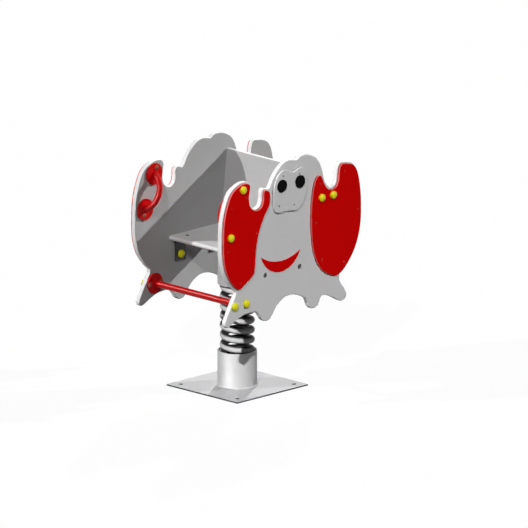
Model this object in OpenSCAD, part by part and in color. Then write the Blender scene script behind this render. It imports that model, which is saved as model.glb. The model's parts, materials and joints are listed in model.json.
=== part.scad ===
// Spring rider: two animal-shaped side panels carry a seat, a back board, handles and a foot bar,
// and stand on one coil spring that is held in a tube on a square ground plate.
// Lengths are in millimetres. +Z is up, the rider faces -Y, and the origin is the middle of the
// ground plate's underside, on the spring's axis.

/* [Ground plate and tubes] */
// Side of the square ground plate
plate_size = 400; // [360:1:480]
// Thickness of the ground plate
plate_t = 6; // [4:0.5:12]
// Distance from the ground plate's edge to the anchor holes
anchor_in = 40; // [30:1:70]
// Diameter of the anchor holes
anchor_d = 18; // [12:0.5:22]
// Gap between the coil and the tube or cup round it
tube_play = 4.5; // [3:0.5:10]
// Wall of the base tube and the spring cup
tube_wall = 4.5; // [3:0.5:6]
// Height of the base tube
tube_h = 144; // [130:1:180]
// Height of the spring cup under the seat
cup_h = 153; // [140:1:190]

/* [Spring] */
// Outside diameter of the coil
coil_d = 141; // [136:0.5:145]
// Diameter of the spring wire
wire_d = 30; // [26:0.5:31]
// Gap between two turns of the coil
coil_gap = 10.2; // [9:0.1:14]
// Height of the coil that shows between the tube and the cup
open_spring_h = 275; // [220:1:340]
// Depth of the spring's end discs behind the mouths of the tube and the cup
seat_depth = 74; // [60:1:90]
// Thickness of the spring's end discs
end_disc_t = 8; // [6:0.5:12]
// Angle at which the wire's lower end lies
wire_start_angle = 311; // [0:1:360]

/* [Seat and back board] */
// Thickness of the seat board
seat_t = 19; // [15:0.5:25]
// Distance from the spring's axis to the seat's front edge
seat_front = 153; // [140:1:180]
// Distance from the spring's axis to the back board at the seat's top
back_y = 139; // [130:1:150]
// Height of the back board's top above the seat's top
back_h = 301; // [240:1:310]
// Thickness of the back board
back_t = 21; // [15:0.5:25]
// Lean of the back board
back_lean = 6.3; // [0:0.1:9]
// Rim of the square mounting plate outside the cup
mount_rim = 15.5; // [12:0.5:30]
// Thickness of the mounting plate
mount_t = 8; // [6:0.5:12]

/* [Side panels] */
// Clear width between the side panels
panel_gap = 464; // [440:1:500]
// Thickness of a side panel
panel_t = 21; // [17:0.5:25]
// Length of a side panel, claw to claw
panel_len = 790; // [760:1:840]
// Height of a side panel, feet to head
panel_h = 648; // [630:1:680]
// Distance from the spring's axis to the panel's front end
panel_front = 345; // [330:1:365]
// Height of the seat's top above the panel's feet
seat_rise = 274; // [262:1:282]
// Radius of the panel's edges
panel_edge_r = 4; // [2:0.5:4.5]
// Thickness of the claws and the face plates
claw_t = 10; // [8:0.5:14]
// Radius of the edges of the claws and face plates
claw_edge_r = 3; // [1:0.5:3.5]
// Strip of panel that shows round a claw
claw_margin = 6; // [4:0.5:8]
// Diameter of an eye
eye_d = 53; // [40:1:60]
// Thickness of an eye
eye_t = 4; // [2:0.5:6]
// Width of the mouth
mouth_w = 219; // [180:1:230]
// Drop of the mouth's lower edge
mouth_drop = 75; // [65:1:85]
// Drop of the mouth's upper edge
mouth_top_drop = 31; // [20:1:45]
// Thickness of the mouth
mouth_t = 3; // [2:0.5:5]

/* [Bars and handles] */
// Outside diameter of the foot bar and the rear bar
bar_d = 27; // [24:0.5:32]
// Wall of the bars
bar_wall = 2.5; // [2:0.1:4]
// Diameter of the bars' flanges
bar_flange_d = 84; // [80:1:100]
// Thickness of all flanges
flange_t = 8; // [6:0.5:10]
// Distance between the two bolts of a bar's flange
bar_bolt_spacing = 64; // [58:1:66]
// Diameter of a handle's tube
handle_d = 25; // [20:0.5:28]
// Diameter of a handle's flanges
handle_flange_d = 88; // [80:1:96]
// Distance between the two flanges of a handle, centre to centre
handle_spacing = 147; // [130:1:160]
// Distance from the panel to the middle of the handle's tube
handle_reach = 55; // [48:1:65]
// Gap between a handle's tube and the heads of its bolts
handle_bolt_gap = 2.5; // [1.5:0.5:5]
// Lean of the handle
handle_lean = 20.5; // [10:0.5:30]

/* [Brackets and fasteners] */
// Width of a seat bracket
bracket_w = 58; // [50:1:70]
// Height of a seat bracket
bracket_h = 92; // [84:1:100]
// Depth of a seat bracket under the seat
bracket_depth = 70; // [62:1:76]
// Thickness of a seat bracket
bracket_t = 5; // [4:0.5:7]
// Distance from the seat's front edge to the front brackets' middle
bracket_set = 60; // [52:1:70]
// Distance from the back board to the rear brackets' middle
bracket_rear_set = 35; // [31:1:60]
// Distance from the seat's underside down to the bracket's bolt
bracket_bolt_drop = 65; // [58:1:68]
// Distance from the panel to the seat bolts
seat_bolt_in = 43; // [38:1:46]
// Diameter of the bolts
bolt_d = 10; // [8:0.5:11]
// Diameter of a bolt's head
bolt_head_d = 22; // [19:0.5:24]
// Height of a bolt's head
bolt_head_h = 5; // [4:0.5:6]
// Width of a nut across its corners
nut_d = 19.6; // [17:0.1:20]
// Height of a nut
nut_h = 8; // [6:0.5:8.5]
// Diameter of a bolt cap
cap_d = 32; // [29:0.5:34]
// Height of a bolt cap above the bolt's end
cap_top = 5.2; // [4:0.1:8]
// Diameter of the small screws
screw_d = 5; // [4:0.5:6]
// Diameter of a small screw's head
screw_head_d = 9; // [8:0.5:11]

/* [Hidden] */
$fn = 64;
// Clearance between parts that are set side by side
fit = 0.3;
// Clearance round a bolt in its hole
bolt_play = 0.5;
// Length by which a cut runs past a surface
overrun = 1;
// Bolt thread that stands out of a nut
thread_out = 1.5;
// Gap between the wire's flat end and the turn that climbs over its tip
end_gap = 1.4;
// Rise of one turn
coil_pitch = wire_d + coil_gap;
// Share of a turn for which each end of the wire lies flat
flat_share = 1 - (wire_d + end_gap) / coil_pitch;
// Sides and rings of the swept wire
wire_sides = 8;
turn_rings = 16;
// Points between two points of an outline
panel_steps = 3;
plate_steps = 3;
// Rings of points that round one edge
edge_rings = 2;

// Distance between the anchor holes, outside diameter of the tubes, and side of the mounting plate
anchor_spacing = plate_size - 2 * anchor_in;
tube_d = coil_d + 2 * (tube_play + tube_wall);
mount_size = tube_d + 2 * mount_rim;

// Heights of the stack, from the ground up
tube_top = plate_t + tube_h;
lower_disc_top = tube_top - seat_depth;
cup_bottom = tube_top + open_spring_h;
upper_disc_bottom = cup_bottom + seat_depth;
cup_top = cup_bottom + cup_h;
seat_bottom = cup_top + mount_t;
seat_top = seat_bottom + seat_t;
panel_z = seat_top - seat_rise;

// Faces of the side panels
panel_in = panel_gap / 2;
panel_out = panel_in + panel_t;
claw_out = panel_out + claw_t;

// Radii of the coil and the tubes
coil_r = (coil_d - wire_d) / 2;
coil_inner_r = coil_r - wire_d / 2;
tube_inner_r = tube_d / 2 - tube_wall;
wire_low = lower_disc_top + fit + wire_d / 2;
wire_high = upper_disc_bottom - fit - wire_d / 2;
rising_turns = (wire_high - wire_low) / coil_pitch;
wire_turns = rising_turns + 2 * flat_share;

// Clamp inside the coil: a block on the end disc, with a lip over the wire's inner shoulder
clamp_w = 24.2;
clamp_inner_r = coil_inner_r - fit - clamp_w;
clamp_outer_r = coil_inner_r - fit;
clamp_lip_over = 5.5;
clamp_lip_t = 4.8;
clamp_lip_r = coil_inner_r + clamp_lip_over;
clamp_lip_z = wire_d / 2 + sqrt(wire_d ^ 2 / 4 - (wire_d / 2 - clamp_lip_over) ^ 2) + 2 * fit;
clamp_h = clamp_lip_z + clamp_lip_t;
// Angle that the clamp keeps back from the ends of the flat stretch, and the angle it spans
clamp_edge_angle = 3.5;
clamp_angle = 360 * flat_share - 2 * clamp_edge_angle;
// Gap between the heads of the clamp's bolts and the coil, radius of the bolts, angle from the middle
clamp_bolt_gap = 1.7;
clamp_bolt_r = coil_inner_r - nut_d / 2 - clamp_bolt_gap;
clamp_bolt_angle = asin((nut_d / 2 + 2 * fit) / clamp_bolt_r);

// Back board's front face where it passes the seat's top and underside
back_at_bottom = back_y - seat_t * tan(back_lean);
board_w = panel_gap - 2 * fit;
board_edge_r = 3;
back_len = (back_h + seat_t) / cos(back_lean);

// Back board's brackets: a long leg on the board, a short one on the panel, clear of the rear bar
back_bracket_w = 40;
back_bracket_leg = 36;
back_bracket_short = 20;
back_bracket_t = 4;
back_bracket_gap = 2;
back_bracket_low_share = 0.3;
back_bracket_high_share = 0.87;

// Screws and nuts of the mounting plate, the seat and the brackets
mount_screw_in = 16;
mount_screw_bite = 12;
hex_head_h = 7;
screw_bite = 12;
claw_screw_bite = 7;
screw_head_h = 2.5;
head_sink = 1;
// Hexagon socket in a bolt's head, as shares of the head
socket_width_share = 0.34;
socket_depth_share = 0.55;
nut_room = 2.7;
flange_chamfer = 1.5;

// Bracket places, as [along Y], front and rear
bracket_ys = [-seat_front + bracket_set, back_at_bottom - bracket_rear_set];
bracket_bolt_z = seat_bottom - bracket_bolt_drop;

// Places on a side panel, as shares of its length and height
front_claw_shares = [
    [0.338, 0.823], [0.305, 0.841], [0.297, 0.829], [0.296, 0.785], [0.282, 0.742], [0.251, 0.725],
    [0.214, 0.741], [0.194, 0.776], [0.190, 0.829], [0.198, 0.890], [0.189, 0.909], [0.156, 0.917],
    [0.118, 0.907], [0.070, 0.873], [0.034, 0.789], [0.013, 0.693], [0.008, 0.585], [0.011, 0.461],
    [0.035, 0.361], [0.082, 0.279], [0.123, 0.250], [0.177, 0.285], [0.224, 0.324], [0.234, 0.369],
    [0.240, 0.469], [0.258, 0.573], [0.295, 0.670], [0.333, 0.733], [0.341, 0.767]];
rear_claw_shares = [
    [0.814, 0.182], [0.854, 0.198], [0.899, 0.247], [0.943, 0.319], [0.973, 0.400], [0.989, 0.492],
    [0.992, 0.577], [0.989, 0.677], [0.977, 0.767], [0.960, 0.829], [0.933, 0.864], [0.880, 0.881],
    [0.856, 0.883], [0.843, 0.866], [0.835, 0.816], [0.830, 0.778], [0.814, 0.748], [0.787, 0.738],
    [0.758, 0.747], [0.737, 0.770], [0.720, 0.810], [0.709, 0.838], [0.694, 0.847], [0.671, 0.827],
    [0.652, 0.767], [0.640, 0.670], [0.637, 0.562], [0.642, 0.454], [0.658, 0.356], [0.690, 0.273],
    [0.740, 0.216]];
leg_shares = [
    [0.109, 0.231], [0.087, 0.179], [0.056, 0.114], [0.033, 0.063], [0.029, 0.037], [0.042, 0.020],
    [0.061, 0.022], [0.100, 0.046], [0.156, 0.072], [0.222, 0.079], [0.256, 0.071], [0.277, 0.046],
    [0.295, 0.015], [0.320, 0.000], [0.348, 0.005], [0.370, 0.031], [0.389, 0.065], [0.422, 0.100],
    [0.465, 0.123], [0.515, 0.125], [0.563, 0.108], [0.606, 0.082], [0.616, 0.062], [0.627, 0.028],
    [0.649, 0.006], [0.675, 0.005], [0.697, 0.020], [0.710, 0.051], [0.723, 0.069], [0.759, 0.065],
    [0.804, 0.040], [0.844, 0.012], [0.870, 0.005], [0.890, 0.015], [0.900, 0.037], [0.894, 0.062],
    [0.872, 0.102], [0.852, 0.139], [0.849, 0.168]];
head_shares = [
    [0.763, 0.768], [0.744, 0.799], [0.732, 0.847], [0.722, 0.886], [0.706, 0.927], [0.685, 0.958],
    [0.652, 0.983], [0.614, 0.998], [0.582, 1.000], [0.559, 0.992], [0.546, 0.980], [0.525, 0.983],
    [0.494, 0.991], [0.465, 0.988], [0.437, 0.974], [0.399, 0.937], [0.371, 0.895], [0.351, 0.853],
    [0.338, 0.841]];
face_shares = [
    [0.596, 0.897], [0.580, 0.923], [0.554, 0.932], [0.532, 0.923], [0.508, 0.914], [0.485, 0.921],
    [0.459, 0.937], [0.437, 0.940], [0.411, 0.927], [0.389, 0.897], [0.373, 0.853], [0.366, 0.793],
    [0.365, 0.742], [0.371, 0.702], [0.389, 0.679], [0.414, 0.671], [0.447, 0.676], [0.487, 0.670],
    [0.525, 0.665], [0.558, 0.681], [0.586, 0.724], [0.604, 0.778], [0.608, 0.840]];
face_screw_shares = [[0.435, 0.903], [0.549, 0.894], [0.405, 0.718], [0.511, 0.705]];
eye_shares = [[0.423, 0.843], [0.552, 0.843]];
front_claw_screw_shares = [[0.166, 0.828], [0.064, 0.778], [0.239, 0.586], [0.037, 0.509], [0.127, 0.290]];
rear_claw_screw_shares = [[0.873, 0.837], [0.697, 0.793], [0.966, 0.571], [0.667, 0.551], [0.710, 0.308],
    [0.867, 0.256]];
mouth_share = [0.423, 0.410];
handle_share = [0.099, 0.738];
foot_bar_share = [0.137, 0.145];
rear_bar_share = [0.747, 0.704];
// Tilt of the mouth, down towards the rear
mouth_tilt = 1.8;
// Stretches of the claws that the panel's edge follows, as first and last point
front_stretch = [1, 19];
rear_stretch = [1, 17];

// Place on a side panel from its share, as [y, z]
function on_panel(share) = [share[0] * panel_len - panel_front, panel_z + share[1] * panel_h];

// Direction from one point to another, and the outward normal of an edge of an outline
function direction(a, b) = (b - a) / norm(b - a);
function normal(a, b) = let (along = direction(a, b)) [along[1], -along[0]];

// Smooth closed curve through the points of an outline
function chord(a, b) = sqrt(norm(b - a));
function slope(a, b, c) = let (ab = chord(a, b), bc = chord(b, c))
    (b - a) / ab - (c - a) / (ab + bc) + (c - b) / bc;
function between(a, b, c, d, s) = let (span = chord(b, c), start = slope(a, b, c) * span,
    end = slope(b, c, d) * span)
    (2 * s ^ 3 - 3 * s ^ 2 + 1) * b + (s ^ 3 - 2 * s ^ 2 + s) * start
    + (3 * s ^ 2 - 2 * s ^ 3) * c + (s ^ 3 - s ^ 2) * end;
function smooth(keys, steps) = let (n = len(keys))
    [for (i = [0:n - 1]) for (k = [0:steps - 1])
        between(keys[(i + n - 1) % n], keys[i], keys[(i + 1) % n], keys[(i + 2) % n], k / steps)];

// Outline moved inwards by a distance, or outwards by a negative one
function moved_in(points, distance) = let (n = len(points))
    [for (i = [0:n - 1])
        let (before = normal(points[(i + n - 1) % n], points[i]),
            after = normal(points[i], points[(i + 1) % n]))
        points[i] - distance * (before + after) / (1 + before * after)];

// Triangles that fill a plane outline, cut off one corner at a time
function turn(a, b, c) = (b[0] - a[0]) * (c[1] - a[1]) - (b[1] - a[1]) * (c[0] - a[0]);
function covers(a, b, c, p) = turn(a, b, p) >= 0 && turn(b, c, p) >= 0 && turn(c, a, p) >= 0;
function hollows(points) = let (n = len(points))
    [for (i = [0:n - 1])
        if (turn(points[(i + n - 1) % n], points[i], points[(i + 1) % n]) <= 0) i];
function is_clear(points, hollow, a, b, c) =
    turn(points[a], points[b], points[c]) > 0
    && len([for (k = hollow)
        if (k != a && k != b && k != c && covers(points[a], points[b], points[c], points[k])) k]) == 0;
function filled(points, ids, hollow, at, done) = let (n = len(ids), i = at % n,
    a = ids[(i + n - 1) % n], b = ids[i], c = ids[(i + 1) % n])
    n == 3 ? concat(done, [ids])
    : is_clear(points, hollow, a, b, c)
        ? filled(points, [for (k = ids) if (k != b) k], [for (k = hollow) if (k != b) k], i + 1,
            concat(done, [[a, b, c]]))
        : filled(points, ids, hollow, i + 1, done);

// Plate of an outline given as [y, z] points, from x to x + t, with round edges
module rounded_plate(points, x, t, edge_r, round_back) {
    quarter = [for (k = [0:edge_rings]) 90 * k / edge_rings];
    back = [for (a = quarter) [edge_r * (1 - sin(a)), edge_r * (1 - cos(a))]];
    front = [for (a = quarter) [edge_r * (1 - cos(a)), t - edge_r * (1 - sin(a))]];
    rings = concat(round_back ? back : [[0, 0]], front);
    n = len(points);
    last = len(rings) - 1;
    corners = [for (ring = rings) for (p = moved_in(points, ring[0])) [x + ring[1], p[0], p[1]]];
    sides = [for (k = [0:last - 1]) for (i = [0:n - 1])
        let (low = k * n + i, low_next = k * n + (i + 1) % n)
        each [[low, low + n, low_next + n], [low, low_next + n, low_next]]];
    caps = filled(points, [for (i = [0:n - 1]) i], hollows(points), 0, []);
    back_cap = caps;
    front_cap = [for (c = caps) [c[2], c[1], c[0]] + [1, 1, 1] * last * n];
    polyhedron(corners, concat(sides, back_cap, front_cap));
}

// Outlines of the claws, the face plate and the whole panel
front_claw_points = [for (share = front_claw_shares) on_panel(share)];
rear_claw_points = [for (share = rear_claw_shares) on_panel(share)];
face_points = [for (share = face_shares) on_panel(share)];
function stretch(points, ends) = let (wider = moved_in(points, -claw_margin))
    [for (i = [ends[0]:ends[1]]) wider[i]];
panel_points = concat(
    [for (share = head_shares) on_panel(share)],
    stretch(front_claw_points, front_stretch),
    [for (share = leg_shares) on_panel(share)],
    stretch(rear_claw_points, rear_stretch));

// Places of the two bars on a panel: the rear one stays clear of the back board and its brackets
foot_bar_at = on_panel(foot_bar_share);
rear_bar_reach = (bar_flange_d / 2 + back_bracket_short + back_bracket_gap + back_t) / cos(back_lean);
function back_board_y(z) = back_at_bottom + (z - seat_bottom) * tan(back_lean);
rear_bar_at = let (at = on_panel(rear_bar_share))
    [max(at[0], back_board_y(at[1]) + rear_bar_reach), at[1]];

// Bolt places on a panel, as [y, z]
handle_bolt_out = (handle_d + bolt_head_d) / 2 + handle_bolt_gap;
handle_axis = [sin(handle_lean), cos(handle_lean)];
handle_flange_places = [for (end = [-1, 1])
    on_panel(handle_share) + end * handle_axis * handle_spacing / 2];
handle_bolt_places = [for (end = [-1, 1])
    on_panel(handle_share) + end * handle_axis * (handle_spacing / 2 + handle_bolt_out)];
function bar_bolt_places(at) = [for (end = [-1, 1]) at + [end * bar_bolt_spacing / 2, 0]];
foot_bolt_places = bar_bolt_places(foot_bar_at);
rear_bolt_places = bar_bolt_places(rear_bar_at);
bracket_bolt_places = [for (y = bracket_ys) [y, bracket_bolt_z]];
face_screw_places = [for (share = face_screw_shares) on_panel(share)];
front_claw_screw_places = [for (share = front_claw_screw_shares) on_panel(share)];
rear_claw_screw_places = [for (share = rear_claw_screw_shares) on_panel(share)];
claw_screw_places = concat(front_claw_screw_places, rear_claw_screw_places);

// Placing helpers: on both sides, on one side, and along X from a panel place
module on_side(side) {
    if (side > 0) children();
    else mirror([1, 0, 0]) children();
}
module on_both_sides() {
    for (side = [1, -1]) on_side(side) children();
}
module outward_at(x, places) {
    for (p = places) translate([x, p[0], p[1]]) rotate([0, 90, 0]) children();
}
module inward_at(x, places) {
    for (p = places) translate([x, p[0], p[1]]) rotate([0, -90, 0]) children();
}

// Straight hole through a length, with the bolt's play
module bolt_hole(length) {
    translate([0, 0, -overrun]) cylinder(d = bolt_d + 2 * bolt_play, h = length + 2 * overrun);
}
// Domed bolt head with a hexagon socket, that sits on z = 0 and rises along +Z
module bolt_head() {
    dome_r = (bolt_head_d ^ 2 / 4 + bolt_head_h ^ 2) / (2 * bolt_head_h);
    depth = socket_depth_share * bolt_head_h;
    difference() {
        intersection() {
            translate([0, 0, bolt_head_h - dome_r]) sphere(r = dome_r);
            cylinder(d = bolt_head_d + overrun, h = bolt_head_h + overrun);
        }
        translate([0, 0, bolt_head_h - depth])
            cylinder(d = socket_width_share * bolt_head_d, h = depth + overrun, $fn = 6);
    }
}
// Bolt with its head's seat on z = 0: the shank runs along -Z through the grip to a nut
module bolt_and_nut(grip, hex_head = false) {
    shank = grip + nut_h + thread_out;
    union() {
        if (hex_head) cylinder(d = nut_d, h = hex_head_h, $fn = 6);
        else bolt_head();
        translate([0, 0, -shank]) cylinder(d = bolt_d, h = shank);
    }
    translate([0, 0, -grip - nut_h]) difference() {
        cylinder(d = nut_d, h = nut_h, $fn = 6);
        translate([0, 0, -overrun]) cylinder(d = bolt_d + fit, h = nut_h + 2 * overrun);
    }
}
// Hollow domed cap that covers a nut: its rim sits on z = 0 and it rises along +Z
module bolt_cap() {
    bore_h = nut_h + thread_out + fit;
    cap_h = bore_h + cap_top;
    dome_h = cap_h / 2;
    dome_r = (cap_d ^ 2 / 4 + dome_h ^ 2) / (2 * dome_h);
    difference() {
        union() {
            cylinder(d = cap_d, h = cap_h - dome_h);
            intersection() {
                translate([0, 0, cap_h - dome_r]) sphere(r = dome_r);
                cylinder(d = cap_d, h = cap_h);
            }
        }
        translate([0, 0, -overrun])
            cylinder(d = nut_d + 2 * nut_room, h = overrun + bore_h);
    }
}
// Flat disc with chamfered rims, from z = 0 up
module flange_disc(d) {
    r = d / 2;
    rotate_extrude() polygon([[0, 0], [r, 0], [r, flange_t - flange_chamfer],
        [r - flange_chamfer, flange_t], [0, flange_t]]);
}
// Profile of a bent angle: legs along -x and -y, with its outer corner at the origin
module bent_angle(leg_x, leg_y, t) {
    bend_r = 2 * t;
    difference() {
        union() {
            translate([-leg_x, -t]) square([leg_x - bend_r, t]);
            translate([-t, -leg_y]) square([t, leg_y - bend_r]);
            translate([-bend_r, -bend_r]) intersection() {
                circle(r = bend_r);
                square(bend_r);
            }
        }
        translate([-bend_r, -bend_r]) circle(r = bend_r - t);
    }
}
// Small round-headed screw: the head's seat is on z = 0 and the shank runs along -Z
module small_screw(length) {
    dome_r = (screw_head_d ^ 2 / 4 + screw_head_h ^ 2) / (2 * screw_head_h);
    union() {
        intersection() {
            translate([0, 0, screw_head_h - dome_r]) sphere(r = dome_r);
            cylinder(d = screw_head_d + overrun, h = screw_head_h + overrun);
        }
        translate([0, 0, -length]) cylinder(d = screw_d, h = length + screw_head_h / 2);
    }
}
// Hole that a small screw's shank fills
module screw_hole(length) {
    translate([0, 0, -length - fit]) cylinder(d = screw_d + fit, h = length + fit + overrun);
}

// Ground plate, with its anchor holes
module base_plate() {
    color("gainsboro") difference() {
        translate([-plate_size / 2, -plate_size / 2, 0]) cube([plate_size, plate_size, plate_t]);
        for (x = [-1, 1]) for (y = [-1, 1])
            translate([x * anchor_spacing / 2, y * anchor_spacing / 2, -overrun])
                cylinder(d = anchor_d, h = plate_t + 2 * overrun);
    }
}
// Round tube, from z = 0 up
module open_tube(h) {
    difference() {
        cylinder(d = tube_d, h = h);
        translate([0, 0, -overrun]) cylinder(r = tube_inner_r, h = h + 2 * overrun);
    }
}
// Tube that is welded on the ground plate
module base_tube() {
    color("silver") translate([0, 0, plate_t]) open_tube(tube_h);
}
// Tube under the seat, into which the spring's upper end goes
module spring_cup() {
    color("silver") translate([0, 0, cup_bottom]) open_tube(cup_h);
}

// Places of the clamp's bolts round the spring's axis, as [x, y] before the clamp is turned
clamp_bolt_places = [for (end = [-1, 1])
    clamp_bolt_r * [cos(clamp_bolt_angle), end * sin(clamp_bolt_angle)]];
// Disc inside a tube that the wire's flat end lies on, from z = 0 down
module end_disc() {
    difference() {
        translate([0, 0, -end_disc_t]) cylinder(r = tube_inner_r - fit, h = end_disc_t);
        for (p = clamp_bolt_places)
            translate([p[0], p[1], -end_disc_t]) bolt_hole(end_disc_t);
    }
}
// Clamp: a stretch of a turned ring that stands on the disc inside the coil and laps over the wire
module spring_clamp() {
    difference() {
        rotate([0, 0, -clamp_angle / 2]) rotate_extrude(angle = clamp_angle)
            polygon([[clamp_inner_r, 0], [clamp_outer_r, 0], [clamp_outer_r, clamp_lip_z],
                [clamp_lip_r, clamp_lip_z], [clamp_lip_r, clamp_h], [clamp_inner_r, clamp_h]]);
        for (p = clamp_bolt_places) translate([p[0], p[1], 0]) bolt_hole(clamp_h);
    }
}
// Bolts that draw the clamp down on the disc
module clamp_bolts() {
    for (p = clamp_bolt_places)
        translate([p[0], p[1], clamp_h]) bolt_and_nut(clamp_h + end_disc_t, hex_head = true);
}
// The lower end's frame, and the upper end's, which hangs upside down
module at_lower_end() {
    translate([0, 0, lower_disc_top]) rotate([0, 0, wire_start_angle - 180 * flat_share]) children();
}
module at_upper_end() {
    middle = wire_start_angle - 360 * wire_turns + 180 * flat_share;
    translate([0, 0, upper_disc_bottom]) rotate([0, 0, middle]) mirror([0, 0, 1]) children();
}
module lower_end_disc() {
    color("dimgray") at_lower_end() end_disc();
}
module upper_end_disc() {
    color("dimgray") at_upper_end() end_disc();
}
module lower_spring_clamp() {
    color("dimgray") at_lower_end() spring_clamp();
}
module upper_spring_clamp() {
    color("dimgray") at_upper_end() spring_clamp();
}
module lower_clamp_bolts() {
    color("darkgray") at_lower_end() clamp_bolts();
}
module upper_clamp_bolts() {
    color("darkgray") at_upper_end() clamp_bolts();
}

// Coil spring: one wire, flat at both ends, that climbs as it turns backwards round +Z
function wire_angle(turns) = wire_start_angle - 360 * turns;
function wire_z(turns) = wire_low
    + coil_pitch * min(max(turns - flat_share, 0), rising_turns);
function wire_at(turns) = [coil_r * cos(wire_angle(turns)), coil_r * sin(wire_angle(turns)), wire_z(turns)];
module spring() {
    rings = round(wire_turns * turn_rings);
    path = [for (k = [0:rings]) wire_at(wire_turns * k / rings)];
    corners = [for (k = [0:rings])
        let (angle = wire_angle(wire_turns * k / rings), out = [cos(angle), sin(angle), 0],
            along = direction(path[max(k - 1, 0)], path[min(k + 1, rings)]),
            across = direction([0, 0, 0], cross(along, out)), side = cross(across, along))
        for (s = [0:wire_sides - 1])
            let (a = 360 * (s + 1 / 2) / wire_sides)
            path[k] + wire_d / 2 * (side * cos(a) + across * sin(a))];
    sides = [for (k = [0:rings - 1]) for (s = [0:wire_sides - 1])
        let (here = k * wire_sides + s, next = k * wire_sides + (s + 1) % wire_sides)
        each [[here, here + wire_sides, next + wire_sides], [here, next + wire_sides, next]]];
    first = [for (s = [0:wire_sides - 1]) s];
    final = [for (s = [wire_sides - 1:-1:0]) rings * wire_sides + s];
    half_turn = floor(turn_rings / 2);
    gaps = [for (i = [0:rings - half_turn]) for (j = [i + half_turn:rings]) norm(path[i] - path[j])];
    echo(least_gap_in_the_spring = min(gaps) - wire_d);
    color("#2b2b2d") polyhedron(corners, concat(sides, [first, final]));
}

// Square plate on the cup, and the screws that hold it under the seat
mount_screw_at = mount_size / 2 - mount_screw_in;
mount_screw_places = [for (x = [-1, 1]) for (y = [-1, 1]) [x * mount_screw_at, y * mount_screw_at]];
module mounting_plate() {
    color("dimgray") translate([0, 0, cup_top]) difference() {
        translate([-mount_size / 2, -mount_size / 2, 0]) cube([mount_size, mount_size, mount_t]);
        for (p = mount_screw_places) translate([p[0], p[1], 0]) bolt_hole(mount_t);
    }
}
module mounting_screws() {
    shank = hex_head_h / 2 + mount_t + mount_screw_bite;
    color("darkgray") for (p = mount_screw_places) translate([p[0], p[1], cup_top]) union() {
        translate([0, 0, -hex_head_h]) cylinder(d = nut_d, h = hex_head_h, $fn = 6);
        translate([0, 0, -hex_head_h / 2]) cylinder(d = bolt_d, h = shank);
    }
}

// Seat bolts pass down through the seat and the brackets
seat_bolt_x = panel_in - seat_bolt_in;
module at_seat_bolts(z) {
    for (x = [-1, 1]) for (y = bracket_ys) translate([x * seat_bolt_x, y, z]) children();
}
// Recess that lets a bolt head lie almost flush, cut down from z = 0
module head_recess() {
    translate([0, 0, -bolt_head_h + head_sink])
        cylinder(d = bolt_head_d + 2 * bolt_play, h = bolt_head_h + overrun);
}
// Seat board, with a half-round front edge
module seat() {
    seat_back = back_at_bottom - fit;
    nose_r = seat_t / 2;
    color("whitesmoke") difference() {
        translate([-board_w / 2, 0, seat_bottom]) rotate([90, 0, 90]) linear_extrude(board_w) union() {
            translate([-seat_front + nose_r, nose_r]) circle(r = nose_r);
            translate([-seat_front + nose_r, 0]) square([seat_back + seat_front - nose_r, seat_t]);
        }
        at_seat_bolts(seat_bottom) bolt_hole(seat_t);
        at_seat_bolts(seat_top) head_recess();
        for (p = mount_screw_places) translate([p[0], p[1], seat_bottom - overrun])
            cylinder(d = bolt_d + fit, h = overrun + mount_screw_bite + fit);
    }
}
// Frame of the back board: z runs up the board and y through it, from its front face
module on_back_board() {
    translate([0, back_at_bottom, seat_bottom]) rotate([-back_lean, 0, 0]) children();
}
// Back board, with rounded long edges
module back_board() {
    inner = [back_t - 2 * board_edge_r, back_len - 2 * board_edge_r];
    color("whitesmoke") on_back_board() difference() {
        translate([-board_w / 2, 0, 0]) rotate([90, 0, 90]) linear_extrude(board_w) union() {
            translate([board_edge_r, 0]) square([inner[0], back_len]);
            translate([0, board_edge_r]) square([back_t, inner[1]]);
            for (y = [0, 1]) for (z = [0, 1])
                translate([board_edge_r + y * inner[0], board_edge_r + z * inner[1]])
                    circle(r = board_edge_r);
        }
        on_both_sides() at_back_brackets() back_board_screw_place() screw_hole(screw_bite);
    }
}
// Angle brackets behind the back board: one leg on the board and one on the side panel
back_bracket_zs = [back_bracket_low_share * back_len, back_bracket_high_share * back_len];
module at_back_brackets() {
    for (z = back_bracket_zs) translate([board_w / 2 + fit, back_t, z]) children();
}
module back_board_screw_place() {
    for (end = [-1, 1])
        translate([-back_bracket_leg / 2, back_bracket_t, end * back_bracket_w / 4]) rotate([-90, 0, 0])
            translate([0, 0, -back_bracket_t]) children();
}
module back_panel_screw_place() {
    for (end = [-1, 1])
        translate([-back_bracket_t, back_bracket_short / 2 + back_bracket_t, end * back_bracket_w / 4])
            rotate([0, -90, 0]) translate([0, 0, -back_bracket_t]) children();
}
module back_brackets() {
    color("dimgray") on_back_board() on_both_sides() at_back_brackets() difference() {
        translate([0, 0, -back_bracket_w / 2]) linear_extrude(back_bracket_w) mirror([0, 1, 0])
            bent_angle(back_bracket_leg, back_bracket_short, back_bracket_t);
        back_board_screw_place() translate([0, 0, back_bracket_t]) screw_hole(back_bracket_t + overrun);
        back_panel_screw_place() translate([0, 0, back_bracket_t]) screw_hole(back_bracket_t + overrun);
    }
}
module back_bracket_screws() {
    color("darkgray") on_back_board() on_both_sides() at_back_brackets() {
        back_board_screw_place() translate([0, 0, back_bracket_t]) small_screw(back_bracket_t + screw_bite);
        back_panel_screw_place() translate([0, 0, back_bracket_t]) small_screw(back_bracket_t + screw_bite);
    }
}

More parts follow.
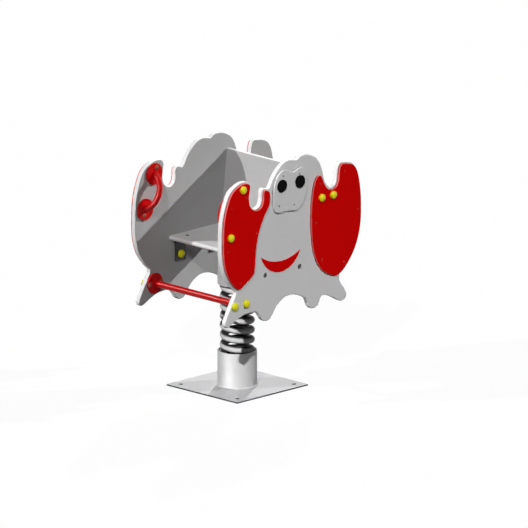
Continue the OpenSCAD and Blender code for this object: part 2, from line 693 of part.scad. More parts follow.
// Side panel on +X: the animal's outline, drilled for everything that is bolted to it
module side_panel() {
    color("whitesmoke") difference() {
        rounded_plate(smooth(panel_points, panel_steps), panel_in, panel_t, panel_edge_r, true);
        outward_at(panel_in, handle_bolt_places) bolt_hole(panel_t);
        outward_at(panel_in, foot_bolt_places) bolt_hole(panel_t);
        outward_at(panel_in, rear_bolt_places) bolt_hole(panel_t);
        outward_at(panel_in, bracket_bolt_places) bolt_hole(panel_t);
        outward_at(panel_out, bracket_bolt_places) head_recess();
        outward_at(panel_out, face_screw_places) screw_hole(screw_bite);
        outward_at(panel_out, claw_screw_places) screw_hole(claw_screw_bite);
        on_back_board() at_back_brackets() back_panel_screw_place() screw_hole(screw_bite);
    }
}
module left_panel() {
    side_panel();
}
module right_panel() {
    on_side(-1) side_panel();
}
// Claws: plates on the outside of the panels, held by through bolts and by small screws near the rim
module front_claw() {
    color("red") difference() {
        rounded_plate(smooth(front_claw_points, plate_steps), panel_out, claw_t, claw_edge_r, false);
        outward_at(panel_out, handle_bolt_places) bolt_hole(claw_t);
        outward_at(claw_out, front_claw_screw_places) screw_hole(claw_t + overrun);
    }
}
module rear_claw() {
    color("red") difference() {
        rounded_plate(smooth(rear_claw_points, plate_steps), panel_out, claw_t, claw_edge_r, false);
        outward_at(panel_out, rear_bolt_places) bolt_hole(claw_t);
        outward_at(claw_out, rear_claw_screw_places) screw_hole(claw_t + overrun);
    }
}
module left_front_claw() {
    front_claw();
}
module right_front_claw() {
    on_side(-1) front_claw();
}
module left_rear_claw() {
    rear_claw();
}
module right_rear_claw() {
    on_side(-1) rear_claw();
}
module claw_screws() {
    color("red") outward_at(claw_out, claw_screw_places) small_screw(claw_t + claw_screw_bite);
}
module left_claw_screws() {
    claw_screws();
}
module right_claw_screws() {
    on_side(-1) claw_screws();
}
// Face plate, its four screws, the two eyes and the mouth
module face_plate() {
    color("gainsboro") difference() {
        rounded_plate(smooth(face_points, plate_steps), panel_out, claw_t, claw_edge_r, false);
        outward_at(claw_out, face_screw_places) screw_hole(claw_t + overrun);
    }
}
module face_screws() {
    color("darkgray") outward_at(claw_out, face_screw_places) small_screw(claw_t + screw_bite);
}
module eyes() {
    rim = eye_t / 4;
    color("black") outward_at(claw_out, [for (share = eye_shares) on_panel(share)])
        rotate_extrude() polygon([[0, 0], [eye_d / 2, 0], [eye_d / 2, eye_t - rim],
            [eye_d / 2 - rim, eye_t], [0, eye_t]]);
}
module mouth() {
    half = mouth_w / 2;
    low_r = (half ^ 2 + mouth_drop ^ 2) / (2 * mouth_drop);
    high_r = (half ^ 2 + mouth_top_drop ^ 2) / (2 * mouth_top_drop);
    at = on_panel(mouth_share);
    color("red") translate([panel_out, at[0], at[1]]) rotate([-mouth_tilt, 0, 0]) rotate([90, 0, 90])
        linear_extrude(mouth_t) difference() {
            translate([0, low_r - mouth_drop]) circle(r = low_r);
            translate([0, high_r - mouth_top_drop]) circle(r = high_r);
        }
}
module left_face_plate() {
    face_plate();
}
module right_face_plate() {
    on_side(-1) face_plate();
}
module left_face_screws() {
    face_screws();
}
module right_face_screws() {
    on_side(-1) face_screws();
}
module left_eyes() {
    eyes();
}
module right_eyes() {
    on_side(-1) eyes();
}
module left_mouth() {
    mouth();
}
module right_mouth() {
    on_side(-1) mouth();
}

// Angle brackets that hang the seat between the panels
module seat_brackets() {
    color("#303033") on_both_sides() for (y = bracket_ys) difference() {
        translate([panel_in, y + bracket_w / 2, seat_bottom]) rotate([90, 0, 0])
            linear_extrude(bracket_w) bent_angle(bracket_depth, bracket_h, bracket_t);
        translate([seat_bolt_x, y, seat_bottom - bracket_t]) bolt_hole(bracket_t);
        outward_at(panel_in - bracket_t, [[y, bracket_bolt_z]]) bolt_hole(bracket_t);
    }
}
module bracket_bolts() {
    grip = panel_t + bracket_t - bolt_head_h + head_sink;
    color("#303033") on_both_sides() outward_at(panel_out - bolt_head_h + head_sink, bracket_bolt_places)
        bolt_and_nut(grip);
}
module bracket_caps() {
    color("gold") on_both_sides() inward_at(panel_in - bracket_t, bracket_bolt_places) bolt_cap();
}
module seat_bolts() {
    grip = seat_t + bracket_t - bolt_head_h + head_sink;
    color("#303033") at_seat_bolts(seat_top - bolt_head_h + head_sink) bolt_and_nut(grip);
}
module seat_bolt_caps() {
    color("gold") at_seat_bolts(seat_bottom - bracket_t) mirror([0, 0, 1]) bolt_cap();
}

// Handles: a tube bent to an arc between two flanges on the inside of a front claw
handle_arc_r = (handle_spacing ^ 2 / 4 + handle_reach ^ 2) / (2 * handle_reach);
// Frame of the handle on +X: x runs away from the panel, y up along the handle
module on_handle() {
    at = on_panel(handle_share);
    translate([panel_in, at[0], at[1]]) rotate([-handle_lean, 0, 0]) rotate([0, 0, 180]) rotate([90, 0, 0])
        children();
}
module handle_bar() {
    color("red") on_handle() difference() {
        translate([handle_reach - handle_arc_r, 0, 0]) rotate([0, 0, -90]) rotate_extrude(angle = 180)
            translate([handle_arc_r, 0]) circle(d = handle_d);
        translate([flange_t - handle_arc_r - handle_d, -handle_arc_r - handle_d, -handle_d])
            cube([handle_arc_r + handle_d, 2 * (handle_arc_r + handle_d), 2 * handle_d]);
    }
}
module handle_flanges() {
    color("red") difference() {
        inward_at(panel_in, handle_flange_places) flange_disc(handle_flange_d);
        inward_at(panel_in, handle_bolt_places) bolt_hole(flange_t);
    }
}
module handle_bolts() {
    color("red") inward_at(panel_in - flange_t, handle_bolt_places) bolt_and_nut(flange_t + panel_t + claw_t);
}
module handle_caps() {
    color("gold") outward_at(claw_out, handle_bolt_places) bolt_cap();
}
module left_handle_bar() {
    handle_bar();
}
module right_handle_bar() {
    on_side(-1) handle_bar();
}
module left_handle_flanges() {
    handle_flanges();
}
module right_handle_flanges() {
    on_side(-1) handle_flanges();
}
module left_handle_bolts() {
    handle_bolts();
}
module right_handle_bolts() {
    on_side(-1) handle_bolts();
}
module left_handle_caps() {
    handle_caps();
}
module right_handle_caps() {
    on_side(-1) handle_caps();
}

// Straight bars between the panels: the foot bar in front, and the rear bar behind the back board
module cross_bar(at) {
    length = panel_gap - 2 * flange_t;
    color("red") translate([-length / 2, at[0], at[1]]) rotate([0, 90, 0]) difference() {
        cylinder(d = bar_d, h = length);
        translate([0, 0, -overrun]) cylinder(d = bar_d - 2 * bar_wall, h = length + 2 * overrun);
    }
}
module bar_flanges(at) {
    color("red") on_both_sides() difference() {
        inward_at(panel_in, [at]) flange_disc(bar_flange_d);
        inward_at(panel_in, bar_bolt_places(at)) bolt_hole(flange_t);
    }
}
module bar_bolts(places, outer) {
    color("red") on_both_sides() inward_at(panel_in - flange_t, places)
        bolt_and_nut(flange_t + outer - panel_in);
}
module bar_caps(places, outer) {
    color("gold") on_both_sides() outward_at(outer, places) bolt_cap();
}
module foot_bar() {
    cross_bar(foot_bar_at);
}
module foot_bar_flanges() {
    bar_flanges(foot_bar_at);
}
module foot_bar_bolts() {
    bar_bolts(foot_bolt_places, panel_out);
}
module foot_bar_caps() {
    bar_caps(foot_bolt_places, panel_out);
}
module rear_bar() {
    cross_bar(rear_bar_at);
}
module rear_bar_flanges() {
    bar_flanges(rear_bar_at);
}
module rear_bar_bolts() {
    bar_bolts(rear_bolt_places, claw_out);
}
module rear_bar_caps() {
    bar_caps(rear_bolt_places, claw_out);
}

base_plate();
base_tube();
lower_end_disc();
lower_spring_clamp();
lower_clamp_bolts();
spring();
spring_cup();
upper_end_disc();
upper_spring_clamp();
upper_clamp_bolts();
mounting_plate();
mounting_screws();
seat();
back_board();
back_brackets();
back_bracket_screws();
left_panel();
right_panel();
left_front_claw();
right_front_claw();
left_rear_claw();
right_rear_claw();
left_claw_screws();
right_claw_screws();
left_face_plate();
right_face_plate();
left_face_screws();
right_face_screws();
left_eyes();
right_eyes();
left_mouth();
right_mouth();
seat_brackets();
bracket_bolts();
bracket_caps();
seat_bolts();
seat_bolt_caps();
left_handle_bar();
right_handle_bar();
left_handle_flanges();
right_handle_flanges();
left_handle_bolts();
right_handle_bolts();
left_handle_caps();
right_handle_caps();
foot_bar();
foot_bar_flanges();
foot_bar_bolts();
foot_bar_caps();
rear_bar();
rear_bar_flanges();
rear_bar_bolts();
rear_bar_caps();
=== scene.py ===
# Spring rider, dressed for a studio picture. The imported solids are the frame; lengths are in metres,
# +Z is up, the rider faces -Y, and the near side panel stands at +X.
import json
import math

import bpy
from mathutils import Matrix, Vector

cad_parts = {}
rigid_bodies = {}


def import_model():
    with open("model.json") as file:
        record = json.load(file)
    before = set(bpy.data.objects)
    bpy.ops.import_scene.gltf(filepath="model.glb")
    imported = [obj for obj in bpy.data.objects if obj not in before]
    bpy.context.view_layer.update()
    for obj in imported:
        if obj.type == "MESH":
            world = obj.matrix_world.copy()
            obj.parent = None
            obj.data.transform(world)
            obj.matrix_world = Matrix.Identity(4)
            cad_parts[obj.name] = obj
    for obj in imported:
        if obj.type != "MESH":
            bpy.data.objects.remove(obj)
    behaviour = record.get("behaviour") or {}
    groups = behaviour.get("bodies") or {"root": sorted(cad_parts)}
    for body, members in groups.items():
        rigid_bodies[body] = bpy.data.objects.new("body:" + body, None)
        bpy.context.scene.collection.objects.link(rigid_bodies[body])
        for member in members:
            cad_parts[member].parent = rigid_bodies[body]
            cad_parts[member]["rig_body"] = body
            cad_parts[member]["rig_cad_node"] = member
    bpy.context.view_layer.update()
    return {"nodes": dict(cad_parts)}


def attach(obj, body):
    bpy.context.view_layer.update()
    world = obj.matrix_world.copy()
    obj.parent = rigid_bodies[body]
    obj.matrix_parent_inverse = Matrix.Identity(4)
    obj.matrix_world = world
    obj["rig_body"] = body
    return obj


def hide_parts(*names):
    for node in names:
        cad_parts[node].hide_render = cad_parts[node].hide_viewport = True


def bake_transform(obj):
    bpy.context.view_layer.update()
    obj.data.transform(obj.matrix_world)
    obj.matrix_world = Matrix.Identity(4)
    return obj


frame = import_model()
nodes = frame["nodes"]

# Camera
# A long lens far off, so near and far measure the same: 45 degrees round from the front towards the
# near side and 15 degrees above the ground, aimed a little right of the spring and above its middle.
view_round = math.radians(45)
view_rise = math.radians(15)
view_far = 6
view_width = 2.111
aim_right = 0.1068
aim_up = 0.4858
view_right = Vector((math.cos(view_round), math.sin(view_round), 0))
view_back = Vector((math.cos(view_rise) * math.sin(view_round),
                    -math.cos(view_rise) * math.cos(view_round),
                    math.sin(view_rise)))
view_up = view_back.cross(view_right)
bpy.ops.object.camera_add(location=view_right * aim_right + view_up * aim_up + view_back * view_far)
camera = bpy.context.object
camera.rotation_euler = Matrix((view_right, view_up, view_back)).transposed().to_euler()
camera.data.type = "ORTHO"
camera.data.ortho_scale = view_width
bpy.context.scene.camera = camera
bpy.context.scene.view_settings.view_transform = "Standard"

# Ground plate and base tube
# A square steel plate and a short pipe, hot-dip galvanised: a satin grey with a faint spangle, and a welded
# seam where the pipe stands on the plate. The plate's top is a darker grey as painted shade, its sides and
# underside near black as painted shade. The cup over the spring's upper end has the same finish and a seam
# at its top.


class Tone:
    """One socket of a finish. Sums and products of tones add Math nodes."""

    def __init__(self, tree, socket=None):
        self.tree = tree
        self.socket = socket

    def node(self, kind, settings=None, values=None, output=0):
        made = self.tree.nodes.new(kind)
        for name, value in (settings or {}).items():
            if name == "stops":
                ramp = made.color_ramp.elements
                while len(ramp) < len(value):
                    ramp.new(0.5)
                for element, (position, grey) in zip(ramp, value):
                    element.position = position
                    element.color = (grey, grey, grey, 1)
            else:
                setattr(made, name, value)
        for name, value in (values or {}).items():
            if isinstance(value, Tone):
                self.tree.links.new(value.socket, made.inputs[name])
            else:
                made.inputs[name].default_value = value
        return Tone(self.tree, made.outputs[output] if made.outputs else None)

    def math(self, operation, first, second):
        return self.node("ShaderNodeMath", {"operation": operation}, {0: first, 1: second})

    def __add__(self, other):
        return self.math("ADD", self, other)

    def __radd__(self, other):
        return self.math("ADD", other, self)

    def __mul__(self, other):
        return self.math("MULTIPLY", self, other)

    def __rmul__(self, other):
        return self.math("MULTIPLY", other, self)


def start_finish(name):
    made = bpy.data.materials.new(name)
    made.use_nodes = True
    made.node_tree.nodes.clear()
    place = Tone(made.node_tree).node("ShaderNodeTexCoord", output="Object")
    return made, place


def speckle(place, scale, detail=3, stops=None):
    noise = place.node("ShaderNodeTexNoise", None, {"Vector": place, "Scale": scale, "Detail": detail})
    if stops is None:
        return noise
    return noise.node("ShaderNodeValToRGB", {"stops": stops}, {0: noise})


def mixed(share, first, second):
    return share.node("ShaderNodeMix", {"data_type": "RGBA"}, {0: share, 6: first, 7: second}, 2)


def relief(height, distance):
    return height.node("ShaderNodeBump", None,
                       {"Height": height, "Distance": distance, "Strength": 1.0})


def lay_finish(place, **values):
    named = {name.replace("_", " "): value for name, value in values.items()}
    shader = place.node("ShaderNodeBsdfPrincipled", None, named)
    place.node("ShaderNodeOutputMaterial", None, {"Surface": shader})


def dress(finish, *names):
    for name in names:
        for slot in nodes[name].material_slots:
            slot.link = "OBJECT"
            slot.material = finish


plate_top = 0.0061
weld_low = 0.0062
weld_high = 0.5778
pipe_r = 0.0797
plate_bead = 0.0042
cup_bead = 0.0040
galvanised, place = start_finish("galvanised_steel")
spangle = place.node("ShaderNodeTexVoronoi", {"feature": "SMOOTH_F1"},
                     {"Vector": place, "Scale": 90}, "Color")
spangle = spangle.node("ShaderNodeRGBToBW", None, {0: spangle})
streak = speckle(place, 9, 4, [(0.3, 0), (0.75, 1)])
facing = place.node("ShaderNodeTexCoord", output="Normal")
up = facing.node("ShaderNodeSeparateXYZ", None, {0: facing}, "Z")
low = place.node("ShaderNodeSeparateXYZ", None, {0: place}, "Z")
on_plate = low.math("LESS_THAN", low, plate_top)
# The plate's sides and underside are coloured near black: painted shade.
plate_side_shade = on_plate * up.math("LESS_THAN", up, 0.5)
pipe = mixed(spangle * 0.35 + streak * 0.3, (0.51, 0.51, 0.515, 1), (0.58, 0.58, 0.585, 1))
# The plate's top takes a darker grey than the pipe of the same zinc: painted shade.
plate_top_shaded = mixed(spangle * 0.4 + streak * 0.4, (0.42, 0.42, 0.43, 1), (0.49, 0.49, 0.495, 1))
zinc = mixed(on_plate, pipe, mixed(plate_side_shade, plate_top_shaded, (0.075, 0.075, 0.08, 1)))
lay_finish(place, Base_Color=zinc, Metallic=0.12 + 0.13 * on_plate,
           Roughness=0.38 + 0.10 * streak + 0.08 * spangle,
           Normal=relief(speckle(place, 420, 4), 0.0002), Specular_IOR_Level=0.25)
dress(galvanised, "base_plate", "base_tube", "spring_cup")


def weld_seam(name, finish, body, centre, radius, bead, turn=(0, 0, 0)):
    """A ring of weld, swollen at every other stretch as the bead was laid."""
    ring_points = 10
    ripple = bead * 0.12
    bpy.ops.object.select_all(action="DESELECT")
    bpy.ops.mesh.primitive_torus_add(location=centre, rotation=turn, major_radius=radius, minor_radius=bead,
                                     major_segments=96, minor_segments=ring_points)
    seam = bpy.context.object
    seam.name = name
    bpy.ops.object.transform_apply(location=True, rotation=True, scale=True)
    for point in seam.data.vertices:
        point.select = (point.index // ring_points) % 4 < 2
    bpy.ops.object.mode_set(mode="EDIT")
    bpy.ops.transform.shrink_fatten(value=ripple)
    bpy.ops.object.mode_set(mode="OBJECT")
    bpy.ops.object.shade_smooth()
    seam.data.materials.append(finish)
    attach(seam, body)


weld_seam("base_weld", galvanised, "base", (0, 0, weld_low), pipe_r, plate_bead)
weld_seam("cup_weld", galvanised, "rider", (0, 0, weld_high), pipe_r, cup_bead)

# End discs, clamps and their bolts
# Steel discs welded inside the pipe and the cup, with a turned clamp that laps over the wire's flat
# end. They, the plate on the cup and the angles are coated black. Their bolts and the small screws of
# the plate, the angles and the faces are zinc plated.
dark_coat, place = start_finish("dark_steel")
dusty = speckle(place, 60, 5, [(0.35, 0), (0.8, 1)])
lay_finish(place, Base_Color=mixed(dusty, (0.020, 0.020, 0.022, 1), (0.045, 0.044, 0.043, 1)),
           Roughness=0.42 + 0.15 * dusty, Normal=relief(speckle(place, 500, 3), 0.00015))
dress(dark_coat, "lower_end_disc", "lower_spring_clamp", "upper_end_disc", "upper_spring_clamp",
      "mounting_plate", "seat_brackets", "back_brackets")
zinc_plate, place = start_finish("zinc_steel")
clouded = speckle(place, 150, 3, [(0.3, 0), (0.7, 1)])
lay_finish(place, Base_Color=mixed(clouded, (0.17, 0.17, 0.168, 1), (0.24, 0.24, 0.24, 1)), Metallic=0.6,
           Roughness=0.50 + 0.12 * clouded)
dress(zinc_plate, "lower_clamp_bolts", "upper_clamp_bolts", "mounting_screws", "back_bracket_screws",
      "left_face_screws", "right_face_screws")

# Coil spring
# One round bar of spring steel wound left-handed, flat for part of a turn at both ends. It is near black
# where the wire faces up, down or in and pale grey along the coil's outside: painted shade and a painted
# highlight.
# The lower half reaches from the ground tube to the spring's middle, the upper half from there to the
# rider.
coil_r = 0.0555
wire_r = 0.015
coil_gap = 0.0102
end_gap = 0.0014
wire_sides = 28
wire_step = math.radians(7)
wire_start = math.radians(311)
wire_low = 0.0913
wire_high = 0.4837
wire_middle = (wire_low + wire_high) / 2
pitch = 2 * wire_r + coil_gap
flat_share = 1 - (2 * wire_r + end_gap) / pitch
flat_turn = math.radians(360 * flat_share)
half_turn = math.radians(360) * (wire_high - wire_low) / 2 / pitch
joint_gap = 0.0004


def wire_stretch(angle, z, turn, rise):
    """Wire wound backwards round the axis from an angle and a height."""
    bpy.ops.object.select_all(action="DESELECT")
    bpy.ops.mesh.primitive_circle_add(vertices=wire_sides, radius=wire_r, location=(coil_r, 0, z),
                                      rotation=(math.radians(90), 0, 0))
    wire = bpy.context.object
    bpy.ops.object.transform_apply(location=True, rotation=True, scale=True)
    wire.rotation_euler = (0, 0, angle)
    bpy.ops.object.transform_apply(location=True, rotation=True, scale=True)
    wound = wire.modifiers.new("wound", "SCREW")
    wound.angle = -turn
    wound.screw_offset = rise
    wound.steps = wound.render_steps = max(8, round(turn / wire_step))
    wound.use_merge_vertices = False
    bpy.ops.object.modifier_apply(modifier=wound.name)
    return wire


def wire_half(name, first, second):
    """Two stretches joined at their shared ring, with closed ends."""
    bpy.ops.object.select_all(action="DESELECT")
    first.select_set(True)
    second.select_set(True)
    bpy.context.view_layer.objects.active = first
    bpy.ops.object.join()
    first.name = name
    bpy.ops.object.mode_set(mode="EDIT")
    bpy.ops.mesh.select_all(action="SELECT")
    bpy.ops.mesh.remove_doubles(threshold=joint_gap)
    bpy.ops.mesh.fill_holes(sides=0)
    bpy.ops.mesh.select_all(action="SELECT")
    bpy.ops.mesh.normals_make_consistent(inside=False)
    bpy.ops.object.mode_set(mode="OBJECT")
    bpy.ops.object.shade_smooth_by_angle(angle=math.radians(50))
    return first


def mark_highlight_facing(wire):
    """Note on each point how far the wire faces away from the coil's axis there, which sets the painted
    highlight and shade.
    """
    outward = wire.data.attributes.new("outward", "FLOAT", "POINT")
    for point in wire.data.vertices:
        away = Vector((point.co.x, point.co.y, 0)).normalized()
        outward.data[point.index].value = point.normal.dot(away)


spring_steel, place = start_finish("spring_steel")
mottle = speckle(place, 45, 5, [(0.3, 0), (0.7, 1)])
outward = place.node("ShaderNodeAttribute", {"attribute_name": "outward"}, None, "Fac")
# Near black where the wire faces up, down or in, pale grey along the outside: painted shade and a painted
# highlight.
painted_highlight = outward.node("ShaderNodeMapRange", None, {"Value": outward, "From Min": 0.60, "From Max": 0.98,
                                                   "To Min": 0.0, "To Max": 1.0})
highlight_grey = mixed(mottle, (0.58, 0.58, 0.582, 1), (0.64, 0.64, 0.642, 1))
lay_finish(place, Base_Color=mixed(painted_highlight, (0.020, 0.020, 0.021, 1), highlight_grey), Metallic=0.0,
           Roughness=0.40 + 0.06 * mottle, Normal=relief(speckle(place, 260, 3), 0.00015),
           Specular_IOR_Level=0.06)
spring_low = wire_half("spring_lower_half",
                       wire_stretch(wire_start, wire_low, flat_turn, 0),
                       wire_stretch(wire_start - flat_turn, wire_low, half_turn, wire_middle - wire_low))
spring_high = wire_half("spring_upper_half",
                        wire_stretch(wire_start - flat_turn - half_turn, wire_middle, half_turn,
                                     wire_high - wire_middle),
                        wire_stretch(wire_start - flat_turn - 2 * half_turn, wire_high, flat_turn, 0))
for half in (spring_low, spring_high):
    mark_highlight_facing(half)
    half.data.materials.append(spring_steel)
    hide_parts("spring")
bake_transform(spring_low)
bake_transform(spring_high)

# Seat, back board and side panels
# Polyethylene board, milled to shape with rounded edges: grey-white faces with a fine pressed grain and a
# few faint rubs, and whiter rounded edges as a painted highlight. The panels carry the seat and back
# between them.


def board_finish(name, pale, rubbed, inner_shade, edge_highlight, sheen, across=(1, 0, 0), gloss=0.12):
    """Faces lie square to across. Faces turned to the middle take the darker colour as painted shade, the
    edges the lighter one as a painted highlight.
    """
    made, place = start_finish(name)
    grain = speckle(place, 650, 2)
    cloud = speckle(place, 5, 4, [(0.3, 0), (0.7, 1)])
    rub = speckle(place, 26, 6, [(0.55, 0), (0.72, 1)])
    facing = place.node("ShaderNodeTexCoord", output="Normal")
    square = facing.node("ShaderNodeVectorMath", {"operation": "DOT_PRODUCT"},
                         {0: facing, 1: across}, "Value")
    square = square.math("ABSOLUTE", square, 0)
    # The edges, where the face turns away from across, take the lighter colour: a painted highlight.
    highlight_rim = square.node("ShaderNodeMapRange", None, {"Value": square, "From Min": 0.55, "From Max": 0.9,
                                                    "To Min": 1.0, "To Max": 0.0})
    # Faces turned towards the middle take the darker colour: painted shade.
    side = place.node("ShaderNodeSeparateXYZ", None, {0: place}, "X")
    shaded_inner = side * facing.node("ShaderNodeSeparateXYZ", None, {0: facing}, "X")
    shaded_inner = shaded_inner.math("LESS_THAN", shaded_inner, -0.1)
    face = mixed(shaded_inner, mixed(cloud * 0.6 + rub * 0.4, pale, rubbed), inner_shade)
    lay_finish(place, Base_Color=mixed(highlight_rim, face, edge_highlight), Roughness=sheen + 0.07 * cloud + 0.06 * rub,
               Normal=relief(grain, 0.00018), Specular_IOR_Level=gloss)
    return made


def rounded_copy(node, name, finish):
    """A board in its solid's place and shape, with its rounded edges shaded smooth."""
    loose_gap = 0.00002
    bpy.ops.object.select_all(action="DESELECT")
    nodes[node].select_set(True)
    bpy.context.view_layer.objects.active = nodes[node]
    bpy.ops.object.duplicate()
    board = bpy.context.object
    bpy.ops.object.parent_clear(type="CLEAR_KEEP_TRANSFORM")
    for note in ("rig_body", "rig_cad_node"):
        del board[note]
    board.name = name
    bpy.ops.object.mode_set(mode="EDIT")
    bpy.ops.mesh.select_all(action="SELECT")
    bpy.ops.mesh.remove_doubles(threshold=loose_gap)
    bpy.ops.object.mode_set(mode="OBJECT")
    bpy.ops.object.shade_smooth_by_angle(angle=math.radians(55))
    even = board.modifiers.new("even", "WEIGHTED_NORMAL")
    even.keep_sharp = True
    bpy.ops.object.modifier_apply(modifier=even.name)
    board.data.materials.clear()
    board.data.materials.append(finish)
    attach(board, "rider")
    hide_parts(node)


pale = (0.64, 0.64, 0.64, 1)
rubbed = (0.61, 0.61, 0.61, 1)
# Darker colour for the faces turned to the middle: painted shade.
inner_shade = (0.43, 0.43, 0.43, 1)
# Whiter colour for the rounded edges: a painted highlight.
edge_highlight = (0.93, 0.93, 0.93, 1)
board_sheen = 0.36
# The seat takes a lighter grey than the panels' board: painted light on its top.
seat_lit_pale = (0.81, 0.81, 0.81, 1)
seat_lit_rubbed = (0.77, 0.77, 0.77, 1)
# The back board takes a darker grey than the panels' board: painted shade.
back_shaded_pale = (0.58, 0.58, 0.58, 1)
back_shaded_rubbed = (0.55, 0.55, 0.55, 1)
lean = math.radians(6.3)
white_board = board_finish("white_board", pale, rubbed, inner_shade, edge_highlight, board_sheen)
seat_board = board_finish("white_seat_board", seat_lit_pale, seat_lit_rubbed, inner_shade, edge_highlight, board_sheen,
                          (0, 0, 1))
back_board = board_finish("white_back_board", back_shaded_pale, back_shaded_rubbed, inner_shade, edge_highlight, board_sheen,
                          (0, -math.cos(lean), math.sin(lean)))
dress(seat_board, "seat")
dress(back_board, "back_board")
for side in ("left", "right"):
    rounded_copy(side + "_panel", side + "_side_board", white_board)

# Claws and mouths
# Red polyethylene cut to the claws' outlines with rounded edges, bolted through the panels; the mouth
# is a thin piece of the same board.
red = (0.64, 0.001, 0.001, 1)
red_rubbed = (0.59, 0.001, 0.001, 1)
# Pink for the claws' rounded edges: a painted highlight.
red_edge_highlight = (0.78, 0.16, 0.16, 1)
red_board = board_finish("red_board", red, red_rubbed, red_rubbed, red_edge_highlight, 0.38, gloss=0.02)
for side in ("left", "right"):
    for end in ("front", "rear"):
        rounded_copy(side + "_" + end + "_claw", side + "_" + end + "_claw_board", red_board)
dress(red_board, "left_mouth", "right_mouth")

# Faces
# A plate of the panels' pale board with rounded edges carries two eyes of black board. Four small
# screws hold it to the panel.
black = (0.002, 0.002, 0.002, 1)
black_rubbed = (0.004, 0.004, 0.004, 1)
# A little lighter for the eyes' edges: a painted highlight.
black_edge_highlight = (0.012, 0.012, 0.012, 1)
face_board = board_finish("face_board", pale, rubbed, inner_shade, edge_highlight, board_sheen)
black_board = board_finish("black_board", black, black_rubbed, black_rubbed, black_edge_highlight, 0.45,
                           gloss=0.02)
for side in ("left", "right"):
    rounded_copy(side + "_face_plate", side + "_face_board", face_board)
dress(black_board, "left_eyes", "right_eyes")

# Seat bolts and bracket bolts
# Round-headed steel bolts, blackened and a little worn, sunk in the seat and the panels. They hold the
# angles under the seat.
black_bolt, place = start_finish("black_bolt")
worn = speckle(place, 220, 4, [(0.45, 0), (0.75, 1)])
lay_finish(place, Base_Color=mixed(worn, (0.09, 0.09, 0.092, 1), (0.15, 0.15, 0.15, 1)), Metallic=0.2,
           Roughness=0.60 + 0.12 * worn, Specular_IOR_Level=0.3)
dress(black_bolt, "bracket_bolts", "seat_bolts")

# Bolt caps
# Yellow plastic caps that snap over the nuts, moulded in one piece: smooth, with a faint texture from
# the mould.
yellow_cap, place = start_finish("yellow_cap")
flow = speckle(place, 120, 3, [(0.3, 0), (0.7, 1)])
lay_finish(place, Base_Color=mixed(flow, (0.77, 0.74, 0.006, 1), (0.71, 0.68, 0.005, 1)),
           Roughness=0.30 + 0.10 * flow, Normal=relief(speckle(place, 900, 2), 0.00008),
           Specular_IOR_Level=0.25)
dress(yellow_cap, "bracket_caps", "seat_bolt_caps", "left_handle_caps", "right_handle_caps",
      "foot_bar_caps", "rear_bar_caps")

# Handles, foot bar and rear bar
# Bent and straight tubes welded to round flanges, powder coated red with a slight orange peel, bolted
# through the panels. The red on the bolt heads is worn through to the metal in places.
red_paint, place = start_finish("red_paint")
peel = speckle(place, 320, 2)
dust = speckle(place, 14, 5, [(0.4, 0), (0.8, 1)])
lay_finish(place, Base_Color=mixed(dust, (0.58, 0.002, 0.003, 1), (0.53, 0.003, 0.004, 1)),
           Roughness=0.34 + 0.08 * dust, Normal=relief(peel, 0.00012), Specular_IOR_Level=0.06,
           Coat_Weight=0.16, Coat_Roughness=0.24)
for side in ("left", "right"):
    dress(red_paint, side + "_handle_bar", side + "_handle_flanges", side + "_claw_screws")
dress(red_paint, "foot_bar", "foot_bar_flanges", "rear_bar", "rear_bar_flanges")
worn_bolt, place = start_finish("worn_bolt")
bare = speckle(place, 150, 3, [(0.35, 0), (0.7, 1)])
lay_finish(place, Base_Color=mixed(bare, (0.36, 0.045, 0.030, 1), (0.44, 0.15, 0.09, 1)), Metallic=0.3,
           Roughness=0.36 + 0.10 * bare, Specular_IOR_Level=0.25)
dress(worn_bolt, "left_handle_bolts", "right_handle_bolts", "foot_bar_bolts", "rear_bar_bolts")
flange_face = 0.224
bar_r = 0.0136
bar_bead = 0.0024
for name, y, z in (("foot_bar", -0.2368, 0.4250), ("rear_bar", 0.2451, 0.7872)):
    for side, x in (("left", flange_face), ("right", -flange_face)):
        weld_seam(side + "_" + name + "_weld", red_paint, "rider", (x, y, z), bar_r, bar_bead,
                  (0, math.radians(90), 0))

# Studio
# A pale floor, a white backdrop and a near-black sheet under the plate, painted shade that shows in the
# anchor holes. Four distant lamps stand round the rider. Four more light only the near side, the tube and
# spring, or the gloss of tubes and bars, and two of the first four pass those by. The light tree is off, as
# it dims such lamps.
floor_size = 40
floor_z = -0.0004
hole_shade_size = 0.38
hole_shade_z = -0.0002
lamp_far = 4


def seen_rays(tree):
    """1 for what the camera sees, straight or mirrored, and 0 for light on its way."""
    seen = tree.node("ShaderNodeLightPath", output="Is Camera Ray")
    for kind in ("Is Glossy Ray", "Is Transmission Ray"):
        seen = seen.math("MAXIMUM", seen, tree.node("ShaderNodeLightPath", output=kind))
    return seen


bpy.ops.object.select_all(action="DESELECT")
bpy.ops.mesh.primitive_plane_add(size=floor_size, location=(0, 0, floor_z))
floor = bpy.context.object
floor.name = "studio_floor"
floor_paper, place = start_finish("floor_paper")
matt = place.node("ShaderNodeBsdfDiffuse", None, {"Color": (0.85, 0.85, 0.85, 1)})
glow = place.node("ShaderNodeEmission", None, {"Color": (1, 1, 1, 1), "Strength": 1.0})
paper_white = place.node("ShaderNodeMixShader", None, {0: 0.93, 1: matt, 2: glow})
unlit = place.node("ShaderNodeBsdfDiffuse", None, {"Color": (0.10, 0.10, 0.10, 1)})
place.node("ShaderNodeOutputMaterial", None,
           {"Surface": place.node("ShaderNodeMixShader", None,
                                  {0: seen_rays(place), 1: unlit, 2: paper_white})})
floor.data.materials.append(floor_paper)
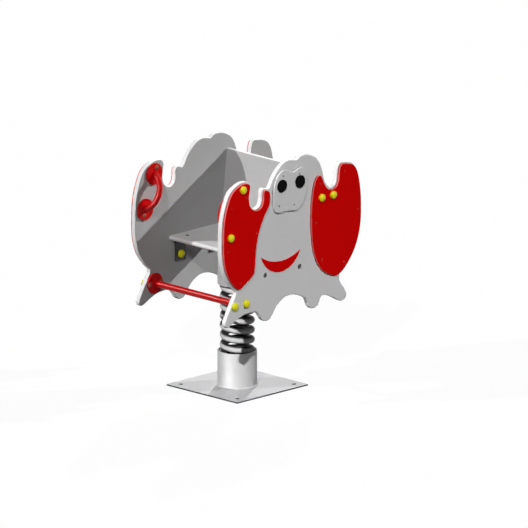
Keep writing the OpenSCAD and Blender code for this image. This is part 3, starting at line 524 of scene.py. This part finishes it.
# A near-black sheet under the plate: painted shade that shows in the anchor holes.
bpy.ops.object.select_all(action="DESELECT")
bpy.ops.mesh.primitive_plane_add(size=hole_shade_size, location=(0, 0, hole_shade_z))
hole_shade = bpy.context.object
hole_shade.name = "studio_footing"
hole_shade_finish, place = start_finish("hole_shade_finish")
grit = speckle(place, 240, 4)
lay_finish(place, Base_Color=mixed(grit, (0.02, 0.02, 0.02, 1), (0.05, 0.05, 0.05, 1)), Roughness=0.9,
           Specular_IOR_Level=0.0)
hole_shade.data.materials.append(hole_shade_finish)
world = bpy.data.worlds.new("studio")
world.use_nodes = True
world.node_tree.nodes.clear()
air = Tone(world.node_tree)
dim = air.node("ShaderNodeBackground", None, {"Color": (1, 1, 1, 1), "Strength": 0.02})
white = air.node("ShaderNodeBackground", None, {"Color": (1, 1, 1, 1), "Strength": 1.0})
air.node("ShaderNodeOutputWorld", None,
         {"Surface": air.node("ShaderNodeMixShader", None, {0: seen_rays(air), 1: dim, 2: white})})
bpy.context.scene.world = world
for name, x, y, z, share, spread in (
        ("front_near", 0.44, -0.68, 0.59, 0.34, 0.8), ("rear_near", 0.50, 0.75, 0.43, 0.88, 0.8),
        ("front_far", -0.46, -0.70, 0.54, 0.62, 0.8), ("rear_far", -0.46, 0.70, 0.54, 0.30, 0.8),
        ("near_side", 0.80, -0.10, 0.59, 0.55, 0.8), ("low_near", 0.44, -0.68, 0.59, 0.92, 0.8),
        ("pipe", -0.09, -1.00, 0.02, 3.50, 45), ("bar", -0.68, -0.52, 0.52, 0.55, 0.8)):
    bpy.ops.object.light_add(type="SUN", location=Vector((x, y, z)) * lamp_far)
    lamp = bpy.context.object
    lamp.name = name + "_lamp"
    lamp.rotation_euler = Vector((x, y, z)).to_track_quat("Z", "Y").to_euler()
    lamp.data.energy = math.pi * share
    lamp.data.angle = math.radians(spread)


def lamp_pieces(lamp, state, pieces):
    """Keep a lamp to some pieces, or off them."""
    group = bpy.data.collections.new(lamp + "_pieces")
    for piece in pieces:
        group.objects.link(piece)
    for entry in group.collection_objects:
        entry.light_linking.link_state = state
    bpy.data.objects[lamp].light_linking.receiver_collection = group


standing = [bpy.data.objects[name] for name in (
    "base_tube", "base_weld", "spring_lower_half", "spring_upper_half")]
near_side = [bpy.data.objects[name] for name in (
    "left_side_board", "left_front_claw_board", "left_rear_claw_board", "left_face_board", "left_eyes",
    "left_mouth", "left_face_screws", "left_claw_screws", "left_handle_caps", "foot_bar_caps",
    "rear_bar_caps")]
lamp_pieces("near_side_lamp", "INCLUDE", near_side)
lamp_pieces("low_near_lamp", "INCLUDE", standing)
pipes = [nodes[name] for name in ("base_tube", "left_handle_bar", "right_handle_bar")]
lamp_pieces("pipe_lamp", "INCLUDE", pipes)
bars = [nodes[name] for name in ("foot_bar", "rear_bar")]
lamp_pieces("bar_lamp", "INCLUDE", bars)
lamp_pieces("rear_near_lamp", "EXCLUDE", standing + near_side)
lamp_pieces("front_far_lamp", "EXCLUDE", standing)
for name in ("pipe_lamp", "bar_lamp"):
    bpy.data.objects[name].visible_diffuse = False
bpy.data.objects["rear_near_lamp"].visible_glossy = False
bpy.context.scene.cycles.use_light_tree = False
